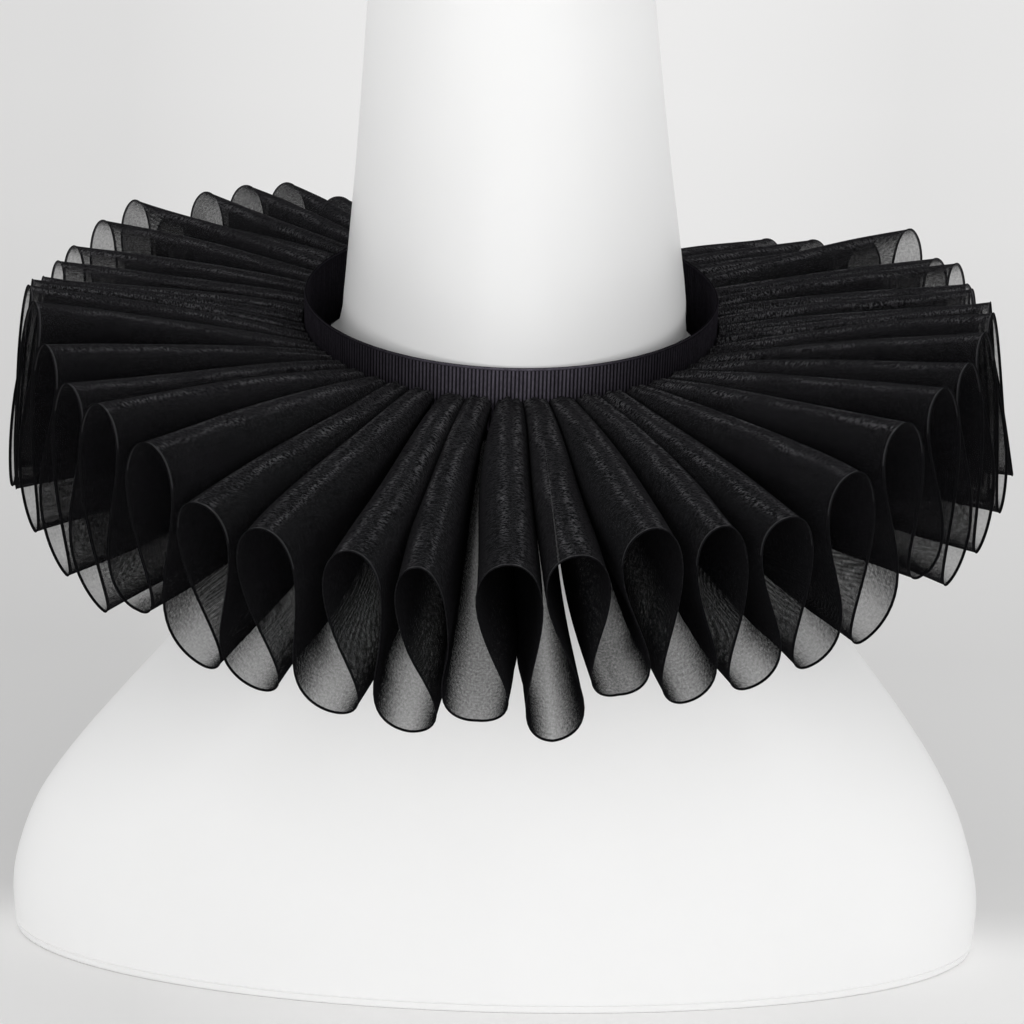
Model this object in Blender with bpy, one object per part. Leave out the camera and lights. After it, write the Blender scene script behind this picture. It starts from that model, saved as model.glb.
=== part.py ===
"""A ruff collar resting on a limbless neck and shoulder form.

The collar is one long ribbon. Its inner edge is gathered round the outside of
a grosgrain neckband, and the ribbon stands out from it in figure-eight folds:
each top loop rolls over into a low loop and back. The neckband leans forward
and sits on the root of the form's neck, open at the centre back, where a hook
and an eye close it.

Sizes are in millimetres and degrees. The wearer's front is -Y and up is +Z.
A turn is an angle round the collar's own axis, 0 at the front and growing
towards +X. A droop is how far a fold points below the collar's own plane.
"""
import math
from collections import namedtuple

import bmesh
import bpy
import numpy as np

for leftover in list(bpy.data.objects):
    bpy.data.objects.remove(leftover, do_unlink=True)

MM = 0.001

# The collar's place: the centre of the neckband's top edge, and its lean
RING_CENTRE = (0.0, 0.0, 230.0)
RING_LEAN = 9.7

# Neckband
BAND_RADIUS = 68.0
BAND_WALL = 1.0
BAND_HEIGHT = 25.0
BAND_END_TURN = 178.9
BAND_COLUMNS = 120

# Pleated ribbon
WAVES = 50
RIBBON_WALL = 1.0
RIBBON_START = BAND_RADIUS + BAND_WALL + 0.7
RIBBON_END_TURN = 179.2
SEAM_LEVEL = -15.5
SEAM_RISE = 6.0
SEAM_SWING = 2.3
SWING_BULGE = 0.6
COLUMNS_PER_WAVE = 14
COLUMN_CROWDING = 0.6
REACH_STATIONS = (0.0, 0.4, 1.0)

# How far the top and low folds stand out from the seam on either side. The
# ribbon is one width all round: folds that curl more stand out less
Reach = namedtuple("Reach", "turn top low")
REACHES = (
    Reach(0.0, 106.0, 106.0),
    Reach(45.0, 104.0, 104.0),
    Reach(70.0, 95.0, 104.0),
    Reach(90.0, 84.5, 103.0),
    Reach(105.0, 92.0, 102.0),
    Reach(125.0, 101.0, 98.0),
    Reach(150.0, 102.0, 99.0),
    Reach(180.0, 100.0, 99.0),
)

# Folds that show from the front, one row for each top loop and the low loop
# to its right: turn and droop of each loop's crest, and its width at the edge
Fold = namedtuple("Fold", "top_turn top_droop top_width low_turn low_droop low_width")
FRONT_FOLDS = (
    Fold(-73.0, -15.0, 17.0, -72.0, 17.0, 17.0),
    Fold(-65.5, -16.0, 17.0, -65.5, 22.0, 17.0),
    Fold(-58.0, -12.0, 18.0, -59.0, 27.0, 17.0),
    Fold(-51.0, -9.0, 17.0, -51.5, 30.0, 17.0),
    Fold(-44.5, -9.0, 18.0, -42.0, 22.0, 18.0),
    Fold(-37.0, -6.0, 18.0, -34.5, 31.0, 19.0),
    Fold(-30.5, 1.5, 18.0, -27.5, 32.5, 19.0),
    Fold(-23.5, 3.0, 18.0, -18.5, 34.0, 19.0),
    Fold(-14.5, 4.0, 17.0, -10.0, 36.5, 18.0),
    Fold(-8.0, 5.5, 13.0, -2.5, 30.5, 19.0),
    Fold(0.5, 4.0, 19.0, 6.0, 37.5, 17.0),
    Fold(7.0, 2.5, 18.0, 12.0, 24.0, 17.0),
    Fold(14.0, -1.5, 17.5, 19.5, 28.5, 17.0),
    Fold(21.0, -0.5, 15.0, 27.0, 28.0, 17.0),
    Fold(28.0, 0.0, 17.0, 34.5, 26.5, 17.0),
    Fold(35.5, -5.0, 17.0, 42.0, 25.0, 17.0),
    Fold(42.5, -10.5, 17.0, 48.5, 14.0, 17.0),
    Fold(50.0, -13.0, 17.0, 57.0, 22.0, 17.0),
    Fold(57.0, -14.0, 17.0, 65.0, 20.5, 17.0),
    Fold(64.0, -16.0, 17.0, 72.0, 17.0, 17.0),
    Fold(71.0, -16.0, 17.0, 78.5, 14.0, 17.0),
)
FIRST_FRONT_FOLD = -10

# Folds further round to the back, counted from the front fold: turn, droop and
# width of each top loop's crest. A low loop lies midway between two top ones
BackFold = namedtuple("BackFold", "step turn droop width")
BACK_FOLDS = (
    BackFold(-26, -187.5, 9.0, 16.5),
    BackFold(-25, -180.0, 8.5, 16.5),
    BackFold(-24, -172.4, 9.5, 16.5),
    BackFold(-23, -164.4, 8.5, 16.5),
    BackFold(-22, -156.6, 7.0, 16.5),
    BackFold(-21, -149.6, 2.5, 15.5),
    BackFold(-20, -143.6, 1.5, 15.0),
    BackFold(-19, -137.5, 1.0, 15.0),
    BackFold(-18, -131.6, 4.0, 14.5),
    BackFold(-17, -125.7, -2.0, 15.0),
    BackFold(-16, -118.0, -1.5, 16.0),
    BackFold(-15, -109.0, -1.0, 16.5),
    BackFold(-14, -101.3, -2.5, 16.5),
    BackFold(-13, -93.3, -3.5, 16.5),
    BackFold(-12, -86.4, -9.0, 16.5),
    BackFold(-11, -79.5, -12.5, 16.5),
    BackFold(11, 79.3, -13.5, 16.5),
    BackFold(12, 86.4, -8.5, 16.5),
    BackFold(13, 93.3, -7.5, 16.5),
    BackFold(14, 100.5, -3.5, 16.5),
    BackFold(15, 107.0, -4.0, 16.0),
    BackFold(16, 114.0, -0.5, 16.0),
    BackFold(17, 121.8, -2.5, 16.5),
    BackFold(18, 129.8, 4.5, 16.5),
    BackFold(19, 138.2, 8.0, 16.5),
    BackFold(20, 145.2, 10.5, 16.0),
    BackFold(21, 151.8, 15.0, 16.0),
    BackFold(22, 158.5, 18.0, 16.5),
    BackFold(23, 165.5, 18.5, 16.5),
    BackFold(24, 172.6, 17.0, 16.5),
    BackFold(25, 180.0, 18.5, 16.5),
    BackFold(26, 187.5, 18.0, 16.5),
)
BACK_OPENING = 34.0

# Small unevenness of the low back folds: how far their droop strays, and how
# fast that changes from fold to fold
DROOP_STRAY = 1.4
DROOP_STRAY_RATE = 2.3

# Between the seam and the edge the top folds arch up and the low ones sag, most
# of all nearer the seam
TOP_BOW = 4.5
LOW_BOW = 41.0
BOW_LEAD = 1.6

# Neck and shoulder form, one row for each section from the base up: its height,
# half width, reach to the front and to the back of its middle, the middle's
# place across X and along Y, and the section's forward lean
Section = namedtuple("Section", "height half_width front back across middle lean")
FORM_SECTIONS = (
    Section(0.0, 166.5, 67.0, 62.0, 0.0, 0.0, 0.0),
    Section(2.5, 168.2, 68.7, 64.0, 0.0, 0.0, 0.0),
    Section(22.0, 168.6, 69.0, 65.0, 0.0, 0.0, 0.0),
    Section(46.0, 161.5, 69.2, 65.5, 0.5, 0.0, 0.0),
    Section(65.0, 150.8, 69.4, 66.0, 2.0, 0.0, 0.0),
    Section(85.0, 136.0, 69.6, 66.3, 3.5, 0.0, 0.4),
    Section(106.0, 118.8, 69.7, 66.0, 4.5, 0.3, 1.2),
    Section(128.0, 101.0, 69.7, 67.0, 4.5, 0.8, 2.6),
    Section(150.0, 87.0, 69.5, 67.8, 3.8, 1.6, 4.5),
    Section(172.0, 77.0, 68.8, 68.2, 2.5, 2.6, 6.7),
    Section(190.0, 71.0, 68.2, 68.2, 1.0, 3.5, 8.7),
    Section(205.3, 67.5, 67.5, 67.5, 0.0, 4.2, 9.7),
    Section(214.2, 59.6, 67.3, 55.0, 0.4, 2.7, 9.7),
    Section(222.1, 57.5, 67.2, 50.4, 0.9, 1.3, 9.7),
    Section(230.0, 56.9, 67.0, 48.8, 1.1, 0.0, 9.7),
    Section(250.0, 54.6, 65.4, 47.0, 0.5, -2.6, 9.2),
    Section(275.0, 51.6, 62.8, 45.0, -0.5, -5.0, 8.2),
    Section(300.0, 49.0, 60.4, 43.2, -1.5, -7.2, 7.0),
    Section(328.0, 46.3, 57.8, 41.4, -2.5, -9.4, 5.5),
    Section(341.0, 45.2, 56.8, 40.6, -2.7, -10.2, 5.0),
    Section(344.2, 43.2, 54.6, 38.6, -2.7, -10.4, 5.0),
)
FORM_COLUMNS = 72
FORM_RINGS_PER_SECTION = 2
FORM_SMOOTH_FROM = 2
FORM_SMOOTH_TO = 19

# Hook and eye behind the neckband's ends
WIRE_RADIUS = 0.45
WIRE_CLEARANCE = 0.35
WIRE_SIDES = 8
CLOSURE_LEVEL = -7.0
EYE_START = -1.0
EYE_REACH = 3.6
EYE_HALF_WIDTH = 1.6
EYE_POINTS = 24

# The hook's path: how far past the neckband's opening, and how many wire
# steps in from the neckband's inner face
HookBend = namedtuple("HookBend", "distance steps")
HOOK_BENDS = (
    HookBend(-7.0, 0.0),
    HookBend(-3.6, 0.0),
    HookBend(-2.6, 1.0),
    HookBend(-0.6, 1.15),
    HookBend(0.5, 1.0),
    HookBend(0.9, 0.4),
)

Finish = namedtuple("Finish", "colour roughness metallic")
FINISHES = {
    "display_form": Finish((0.86, 0.86, 0.85), 0.35, 0.0),
    "neckband": Finish((0.030, 0.029, 0.036), 0.75, 0.0),
    "ruffle": Finish((0.020, 0.020, 0.022), 0.55, 0.0),
    "hook": Finish((0.020, 0.020, 0.020), 0.35, 1.0),
    "eye": Finish((0.020, 0.020, 0.020), 0.35, 1.0),
}


def ring_point(turn, radius, level):
    """A point given round, out from and along the collar's axis, as an array of X, Y, Z."""
    angle = np.radians(turn)
    lean = math.radians(RING_LEAN)
    across = radius * np.sin(angle)
    ahead = -radius * np.cos(angle)
    x = across + RING_CENTRE[0]
    y = ahead * math.cos(lean) - level * math.sin(lean) + RING_CENTRE[1]
    z = ahead * math.sin(lean) + level * math.cos(lean) + RING_CENTRE[2]
    return np.stack(np.broadcast_arrays(x, y, z), axis=-1)


def crest_rows():
    """Step, turn, droop and width of every crest round the collar, tops and lows in turn."""
    rows = [tuple(fold) for fold in BACK_FOLDS]
    for index, fold in enumerate(FRONT_FOLDS):
        step = FIRST_FRONT_FOLD + index
        rows.append((step, fold.top_turn, fold.top_droop, fold.top_width))
    tops = np.array(sorted(rows))
    for index, fold in enumerate(FRONT_FOLDS):
        step = FIRST_FRONT_FOLD + index + 0.5
        rows.append((step, fold.low_turn, fold.low_droop, fold.low_width))
    shown = {row[0] for row in rows}
    for step in tops[:-1, 0] + 0.5:
        if step not in shown:
            turn, droop, width = (np.interp(step, tops[:, 0], column) for column in tops.T[1:])
            droop += BACK_OPENING + DROOP_STRAY * math.sin(DROOP_STRAY_RATE * step)
            rows.append((step, turn, droop, width))
    return np.array(sorted(rows))


CRESTS = crest_rows()
TOPS = CRESTS[CRESTS[:, 0] == np.round(CRESTS[:, 0])]
LOWS = CRESTS[CRESTS[:, 0] != np.round(CRESTS[:, 0])]


def ribbon_point(step, along):
    """The ribbon's middle surface: step counts the waves, along runs from the seam, 0, to the edge, 1."""
    share = (1.0 + np.cos(2.0 * np.pi * step)) / 2.0
    droop_top = np.interp(step, TOPS[:, 0], TOPS[:, 2])
    droop_low = np.interp(step, LOWS[:, 0], LOWS[:, 2])
    width_top = np.interp(step, TOPS[:, 0], TOPS[:, 3])
    width_low = np.interp(step, LOWS[:, 0], LOWS[:, 3])
    droop = np.radians(droop_low + (droop_top - droop_low) * share)
    width = width_low + (width_top - width_low) * share
    turn = np.interp(step, CRESTS[:, 0], CRESTS[:, 1])

    turns = [row.turn for row in REACHES]
    reach_top = np.interp(np.abs(turn), turns, [row.top for row in REACHES])
    reach_low = np.interp(np.abs(turn), turns, [row.low for row in REACHES])
    reach = reach_top + (reach_low - reach_top) * (1.0 - share) ** 2
    radius = RIBBON_START + along * reach * np.cos(droop)
    level = SEAM_LEVEL + SEAM_RISE * (2.0 * share - 1.0) - along * reach * np.sin(droop)
    bow = along * (1.0 - along) * (BOW_LEAD - along)
    level = level + TOP_BOW * bow * share**2 - LOW_BOW * bow * (1.0 - share) ** 2

    edge_pitch = 2.0 * np.pi * (RIBBON_START + reach) / WAVES
    edge_swing = width / 2.0 - edge_pitch / 8.0
    grown = along * (1.0 + SWING_BULGE * (1.0 - along))
    swing = (SEAM_SWING + (edge_swing - SEAM_SWING) * grown) * np.sin(4.0 * np.pi * step)
    return ring_point(turn + np.degrees(swing / radius), radius, level)


def ribbon_normal(step, along):
    """The unit normal of the ribbon's middle surface."""
    small = 1e-4
    around = ribbon_point(step + small, along) - ribbon_point(step - small, along)
    outward = ribbon_point(step, along + small) - ribbon_point(step, along - small)
    normal = np.cross(around, outward)
    return normal / np.linalg.norm(normal, axis=-1, keepdims=True)


def wall_from_grid(name, front_face, back_face):
    """A closed wall between two grids of points, with its four edges closed."""
    rows, columns = front_face.shape[:2]
    points = np.concatenate([front_face.reshape(-1, 3), back_face.reshape(-1, 3)])
    half = rows * columns

    def at(row, column, face):
        return face * half + row * columns + column

    faces = []
    for row in range(rows - 1):
        for column in range(columns - 1):
            corners = ((row, column), (row, column + 1), (row + 1, column + 1), (row + 1, column))
            faces.append([at(r, c, 0) for r, c in corners])
            faces.append([at(r, c, 1) for r, c in reversed(corners)])
    for column in range(columns - 1):
        faces.append([at(0, column, 0), at(0, column, 1), at(0, column + 1, 1), at(0, column + 1, 0)])
        last = rows - 1
        faces.append([at(last, column + 1, 0), at(last, column + 1, 1), at(last, column, 1), at(last, column, 0)])
    for row in range(rows - 1):
        faces.append([at(row + 1, 0, 0), at(row + 1, 0, 1), at(row, 0, 1), at(row, 0, 0)])
        end = columns - 1
        faces.append([at(row, end, 0), at(row, end, 1), at(row + 1, end, 1), at(row + 1, end, 0)])
    return mesh_object(name, points, faces)


def mesh_object(name, points, faces):
    """An object from points in millimetres, its faces turned outward and its finish put on."""
    mesh = bpy.data.meshes.new(name)
    mesh.from_pydata([tuple(p) for p in np.asarray(points) * MM], [], faces)
    work = bmesh.new()
    work.from_mesh(mesh)
    bmesh.ops.recalc_face_normals(work, faces=work.faces)
    work.to_mesh(mesh)
    work.free()
    mesh.shade_smooth()
    mesh.set_sharp_from_angle(angle=math.radians(40.0))
    part = bpy.data.objects.new(name, mesh)
    bpy.context.collection.objects.link(part)
    part.data.materials.append(finish_material(name))
    return part


def finish_material(name):
    """A plain Principled material from the table of finishes."""
    finish = FINISHES[name]
    material = bpy.data.materials.new(name)
    material.use_nodes = True
    shader = material.node_tree.nodes["Principled BSDF"]
    shader.inputs["Base Color"].default_value = (*finish.colour, 1.0)
    shader.inputs["Roughness"].default_value = finish.roughness
    shader.inputs["Metallic"].default_value = finish.metallic
    material.diffuse_color = (*finish.colour, 1.0)
    return material


def build_ruffle():
    """The pleated ribbon: a thin wall either side of its middle surface."""
    end_step = WAVES * RIBBON_END_TURN / 360.0
    even = np.linspace(-end_step, end_step, WAVES * COLUMNS_PER_WAVE + 1)
    steps = even - COLUMN_CROWDING * np.sin(4.0 * np.pi * even) / (4.0 * np.pi)
    step, along = np.meshgrid(steps, REACH_STATIONS)
    middle = ribbon_point(step, along)
    offset = ribbon_normal(step, along) * RIBBON_WALL / 2.0
    return wall_from_grid("ruffle", middle + offset, middle - offset)


def build_neckband():
    """The neckband: an upright wall round the collar's axis, open at the centre back."""
    turn, level = np.meshgrid(
        np.linspace(-BAND_END_TURN, BAND_END_TURN, BAND_COLUMNS + 1),
        (0.0, -BAND_HEIGHT),
    )
    outer = ring_point(turn, BAND_RADIUS + BAND_WALL, level)
    inner = ring_point(turn, BAND_RADIUS, level)
    return wall_from_grid("neckband", outer, inner)


def form_ring(section):
    """One section of the form: two half ellipses that share the same width."""
    angle = np.linspace(0.0, 2.0 * np.pi, FORM_COLUMNS, endpoint=False)
    lean = math.radians(section.lean)
    depth = np.where(np.sin(angle) < 0.0, section.front, section.back)
    x = section.across + section.half_width * np.cos(angle)
    out = depth * np.sin(angle)
    y = section.middle + out * math.cos(lean)
    z = section.height + out * math.sin(lean)
    return np.stack([x, y, z], axis=-1)


def smooth_sections():
    """The form's sections with more between them, on a smooth curve through each column of the table."""
    table = np.array(FORM_SECTIONS)
    rows = [table[index] for index in range(FORM_SMOOTH_FROM)]
    for index in range(FORM_SMOOTH_FROM, FORM_SMOOTH_TO):
        before, start, end = table[index - 1], table[index], table[index + 1]
        after = table[min(index + 2, len(table) - 1)]
        for part in range(FORM_RINGS_PER_SECTION):
            t = part / FORM_RINGS_PER_SECTION
            rows.append(catmull_rom(before, start, end, after, t))
    rows.extend(table[FORM_SMOOTH_TO:])
    return [Section(*row) for row in rows]


def catmull_rom(before, start, end, after, t):
    """A point on the smooth curve from start to end, with its slopes taken from the heights, column 0."""
    span = end[0] - start[0]
    slope_start = (end - before) / (end[0] - before[0]) * span
    slope_end = (after - start) / (after[0] - start[0]) * span
    blend = 3.0 * t**2 - 2.0 * t**3
    return (
        start + (end - start) * blend
        + slope_start * (t - 2.0 * t**2 + t**3)
        + slope_end * (t**3 - t**2)
    )


def build_form():
    """The neck and shoulder form, solid, with a flat base and a closed top."""
    rings = [form_ring(section) for section in smooth_sections()]
    points = np.concatenate(rings)
    faces = [list(range(FORM_COLUMNS))]
    for level in range(len(rings) - 1):
        low = level * FORM_COLUMNS
        high = low + FORM_COLUMNS
        for column in range(FORM_COLUMNS):
            following = (column + 1) % FORM_COLUMNS
            faces.append([low + column, low + following, high + following, high + column])
    top = (len(rings) - 1) * FORM_COLUMNS
    faces.append([top + column for column in range(FORM_COLUMNS)])
    return mesh_object("display_form", points, faces)


def wire(name, path, closed):
    """A round wire along a path of points in millimetres, its ends capped unless it is a closed ring."""
    curve = bpy.data.curves.new(name, "CURVE")
    curve.dimensions = "3D"
    curve.bevel_depth = WIRE_RADIUS * MM
    curve.bevel_resolution = WIRE_SIDES // 4
    curve.use_fill_caps = not closed
    spline = curve.splines.new("POLY")
    spline.points.add(len(path) - 1)
    for point, place in zip(spline.points, path):
        point.co = (*(np.asarray(place) * MM), 1.0)
    spline.use_cyclic_u = closed
    curve.materials.append(finish_material(name))
    part = bpy.data.objects.new(name, curve)
    bpy.context.collection.objects.link(part)
    return part


def inside_band(distance, depth, level):
    """A point beside the neckband's opening: distance past it towards +X, depth in from its inner face."""
    radius = BAND_RADIUS - depth
    turn = 180.0 - math.degrees(distance / radius)
    return ring_point(turn, radius, level)


def build_eye():
    """The eye: a closed ring of wire that lies on one end of the neckband and reaches over its opening."""
    depth = WIRE_RADIUS + WIRE_CLEARANCE
    path = []
    for index in range(EYE_POINTS):
        angle = 2.0 * math.pi * index / EYE_POINTS
        distance = EYE_START + EYE_REACH / 2.0 * (1.0 - math.cos(angle))
        level = CLOSURE_LEVEL + EYE_HALF_WIDTH * math.sin(angle)
        path.append(inside_band(distance, depth, level))
    return wire("eye", path, closed=True)


def build_hook():
    """The hook: a wire from the other end that passes under the eye's near side and folds back over it."""
    near = WIRE_RADIUS + WIRE_CLEARANCE
    rise = 2.0 * WIRE_RADIUS + WIRE_CLEARANCE
    path = [
        inside_band(bend.distance, near + bend.steps * rise, CLOSURE_LEVEL)
        for bend in HOOK_BENDS
    ]
    return wire("hook", path, closed=False)


build_form()
build_neckband()
build_ruffle()
build_eye()
build_hook()
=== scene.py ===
# %% [markdown]
# # A ruff collar resting on its display form
#
# The real object is one long sheer ribbon, laid in figure-eight folds and
# gathered to the outside of a grosgrain neckband. The collar rests on a smooth
# white neck and shoulder form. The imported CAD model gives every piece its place
# and size. This script dresses it: each piece is made again in finer detail,
# in the space that its solid holds, and gets its own procedural finish.

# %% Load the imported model
import math
from collections import namedtuple

import bpy
import numpy as np
from mathutils import Matrix, Vector


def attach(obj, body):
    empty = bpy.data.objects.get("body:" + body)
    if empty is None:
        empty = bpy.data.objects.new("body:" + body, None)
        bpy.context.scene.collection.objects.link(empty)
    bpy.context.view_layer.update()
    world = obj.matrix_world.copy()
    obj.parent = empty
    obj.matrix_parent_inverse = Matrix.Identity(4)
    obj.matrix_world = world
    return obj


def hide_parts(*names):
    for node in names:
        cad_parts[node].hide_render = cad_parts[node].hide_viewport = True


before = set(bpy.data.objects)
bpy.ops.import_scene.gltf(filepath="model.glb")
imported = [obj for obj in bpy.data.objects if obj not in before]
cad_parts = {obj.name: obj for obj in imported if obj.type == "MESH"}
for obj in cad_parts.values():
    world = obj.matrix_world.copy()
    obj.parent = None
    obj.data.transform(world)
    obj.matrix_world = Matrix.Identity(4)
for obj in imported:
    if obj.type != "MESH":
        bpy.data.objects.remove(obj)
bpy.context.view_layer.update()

# %% [markdown]
# ## Units and helpers
#
# The sizes below are in millimetres, as a maker would write them, and every
# mesh is turned into metres when it is made. Two helpers do most of the work:
# one makes an object from points and faces, and one turns the result of a
# Geometry Nodes tree into a plain mesh.

# %% Helpers for meshes
MM = 0.001


def add_map(piece, name, pairs):
    """A map on a piece that holds one pair of numbers for each of its points."""
    layer = piece.data.uv_layers.new(name=name)
    corners = np.zeros(len(piece.data.loops), np.int32)
    piece.data.loops.foreach_get("vertex_index", corners)
    layer.data.foreach_set("uv", np.asarray(pairs, np.float32)[corners].ravel())


def mesh_piece(name, points, faces, cloth=None):
    """An object from points in millimetres; cloth is their places on the flat cloth in metres."""
    mesh = bpy.data.meshes.new(name)
    mesh.from_pydata([tuple(p) for p in np.asarray(points, float) * MM], [], faces)
    mesh.shade_smooth()
    piece = bpy.data.objects.new(name, mesh)
    bpy.context.scene.collection.objects.link(piece)
    if cloth is not None:
        add_map(piece, "cloth", cloth)
    return piece


def grid_faces(rows, columns, wrap=False):
    """Quads of a grid of points stored row by row; wrap joins the last column to the first."""
    faces = []
    for row in range(rows - 1):
        for column in range(columns if wrap else columns - 1):
            following = (column + 1) % columns
            faces.append((
                row * columns + column,
                row * columns + following,
                (row + 1) * columns + following,
                (row + 1) * columns + column,
            ))
    return faces


def triangles(piece):
    """How many triangles a piece has."""
    return sum(len(p.vertices) - 2 for p in piece.data.polygons)


# %% Helpers for Geometry Nodes
def node_tree(name, inputs):
    """A new geometry tree with named inputs, (name, socket type, value) each, and a Finish."""
    tree = bpy.data.node_groups.new(name, "GeometryNodeTree")
    tree.interface.new_socket("Geometry", in_out="INPUT", socket_type="NodeSocketGeometry")
    for label, kind, _ in inputs:
        tree.interface.new_socket(label, in_out="INPUT", socket_type=kind)
    tree.interface.new_socket("Finish", in_out="INPUT", socket_type="NodeSocketMaterial")
    tree.interface.new_socket("Geometry", in_out="OUTPUT", socket_type="NodeSocketGeometry")
    return tree


def add_node(tree, kind, settings=(), **values):
    """A node of that kind, its settings made and its unlinked sockets given values by name."""
    node = tree.nodes.new(kind)
    for name, value in dict(settings).items():
        setattr(node, name, value)
    for name, value in values.items():
        node.inputs[name.replace("_", " ")].default_value = value
    return node


def finish_tree(tree, geometry, group_in):
    """Ends a tree: copies become smooth mesh that wears the tree's own Finish."""
    realized = tree.nodes.new("GeometryNodeRealizeInstances")
    tree.links.new(geometry, realized.inputs["Geometry"])
    smooth = tree.nodes.new("GeometryNodeSetShadeSmooth")
    tree.links.new(realized.outputs["Geometry"], smooth.inputs["Geometry"])
    finish = tree.nodes.new("GeometryNodeSetMaterial")
    tree.links.new(smooth.outputs["Geometry"], finish.inputs["Geometry"])
    tree.links.new(group_in.outputs["Finish"], finish.inputs["Material"])
    group_out = tree.nodes.new("NodeGroupOutput")
    tree.links.new(finish.outputs["Geometry"], group_out.inputs["Geometry"])


def run_tree(piece, tree, inputs, finish):
    """Runs the tree on a piece with that material, and leaves the result as its plain mesh."""
    modifier = piece.modifiers.new(tree.name, "NODES")
    modifier.node_group = tree
    identifiers = {
        item.name: item.identifier
        for item in tree.interface.items_tree
        if item.in_out == "INPUT"
    }
    for label, _, value in inputs:
        modifier[identifiers[label]] = value
    modifier[identifiers["Finish"]] = finish
    bpy.context.view_layer.update()
    evaluated = piece.evaluated_get(bpy.context.evaluated_depsgraph_get())
    mesh = bpy.data.meshes.new_from_object(evaluated)
    piece.modifiers.remove(modifier)
    piece.data = mesh
    return piece


# %% [markdown]
# ## The camera
#
# The picture was taken from a little above the collar, with a long lens, so
# that the near folds are hardly larger than the far ones. The camera leans a
# little to one side, and a small shift puts the form where the picture has it.

# %% Camera
CAMERA_PLACE = (0.0, -985.0, 417.7)
CAMERA_PITCH = 15.0
CAMERA_ROLL = 1.6
FOCAL_PIXELS = 3000.0
PICTURE_PIXELS = 1024.0
SENSOR_MM = 36.0
LEFTWARD_PIXELS = 6.5

camera = bpy.data.objects.new("camera", bpy.data.cameras.new("camera"))
bpy.context.scene.collection.objects.link(camera)
camera.data.sensor_width = SENSOR_MM
camera.data.lens = FOCAL_PIXELS / PICTURE_PIXELS * SENSOR_MM
camera.data.shift_x = LEFTWARD_PIXELS / PICTURE_PIXELS
camera.data.clip_start = 0.05
camera.data.clip_end = 60.0
camera.matrix_world = (
    Matrix.Translation(Vector(CAMERA_PLACE) * MM)
    @ Matrix.Rotation(math.radians(90.0 - CAMERA_PITCH), 4, "X")
    @ Matrix.Rotation(math.radians(CAMERA_ROLL), 4, "Z")
)
bpy.context.scene.camera = camera
print("lens in mm:", round(camera.data.lens, 1))

# %% [markdown]
# ## Light and floor
#
# A white form in a white studio needs light from everywhere and only a gentle
# light from one side, or its round shape burns out. The world gives most of
# the light. Two large soft lights to the left and right of the camera add a
# little to whatever faces the front, and a low one shines under the collar, as
# a white table top does. The floor is one plain sheet whose grey carries
# painted shade and light: painted shade darkens it behind the form, as a studio
# floor falls off towards its wall, a painted glow lies along the camera's line,
# and the right side is painted lighter.

# %% Light
SoftLight = namedtuple("SoftLight", "name place aim width height watts")
SOFT_LIGHTS = (
    SoftLight("left light", (-1500.0, -1600.0, 900.0), (0.0, 0.0, 200.0), 1200.0, 1200.0, 6.2),
    SoftLight("right light", (1500.0, -1600.0, 900.0), (0.0, 0.0, 200.0), 1200.0, 1200.0, 6.4),
    SoftLight("low light", (0.0, -900.0, 60.0), (0.0, 0.0, 170.0), 900.0, 100.0, 0.9),
)
WORLD_COLOUR = (1.0, 1.0, 1.0, 1.0)
WORLD_STRENGTH = 0.85

for light in SOFT_LIGHTS:
    data = bpy.data.lights.new(light.name, "AREA")
    data.shape = "RECTANGLE"
    data.size = light.width * MM
    data.size_y = light.height * MM
    data.energy = light.watts
    lamp = bpy.data.objects.new(light.name, data)
    lamp.visible_camera = False
    bpy.context.scene.collection.objects.link(lamp)
    place = Vector(light.place) * MM
    aim = Vector(light.aim) * MM
    lamp.matrix_world = (
        Matrix.Translation(place) @ (aim - place).to_track_quat("-Z", "Y").to_matrix().to_4x4()
    )

world = bpy.data.worlds.new("studio")
world.use_nodes = True
background = world.node_tree.nodes["Background"]
background.inputs["Color"].default_value = WORLD_COLOUR
background.inputs["Strength"].default_value = WORLD_STRENGTH
bpy.context.scene.world = world
bpy.context.scene.view_settings.view_transform = "Standard"
print("soft lights:", len(SOFT_LIGHTS))


# %% Helpers for materials
def new_material(name, **values):
    """A material whose Principled shader has these constant values, and its node tree."""
    material = bpy.data.materials.new(name)
    material.use_nodes = True
    shader = material.node_tree.nodes["Principled BSDF"]
    for label, value in values.items():
        shader.inputs[label.replace("_", " ")].default_value = value
    return material, material.node_tree, shader


def math_node(tree, operation, first, second=0.0, third=0.0, clamp=False):
    """A math node; each operand is a socket or a number."""
    node = tree.nodes.new("ShaderNodeMath")
    node.operation = operation
    node.use_clamp = clamp
    for socket, value in zip(node.inputs, (first, second, third)):
        if isinstance(value, bpy.types.NodeSocket):
            tree.links.new(value, socket)
        else:
            socket.default_value = value
    return node.outputs[0]


def object_place(tree):
    """The place of the shaded point, in metres."""
    return tree.nodes.new("ShaderNodeTexCoord").outputs["Object"]


def axes_of(tree, vector):
    """The parts of a vector, found by the name of their axis."""
    node = tree.nodes.new("ShaderNodeSeparateXYZ")
    tree.links.new(vector, node.inputs["Vector"])
    return node.outputs


def map_axes(tree, name):
    """A named map of the mesh: its vector, and its parts along X and Y."""
    node = tree.nodes.new("ShaderNodeUVMap")
    node.uv_map = name
    return node.outputs["UV"], axes_of(tree, node.outputs["UV"])


def scaled(tree, colour, factor):
    """A colour made lighter or darker by a factor."""
    node = add_node(tree, "ShaderNodeVectorMath", {"operation": "SCALE"})
    tree.links.new(colour, node.inputs["Vector"])
    tree.links.new(factor, node.inputs["Scale"])
    return node.outputs["Vector"]


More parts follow.
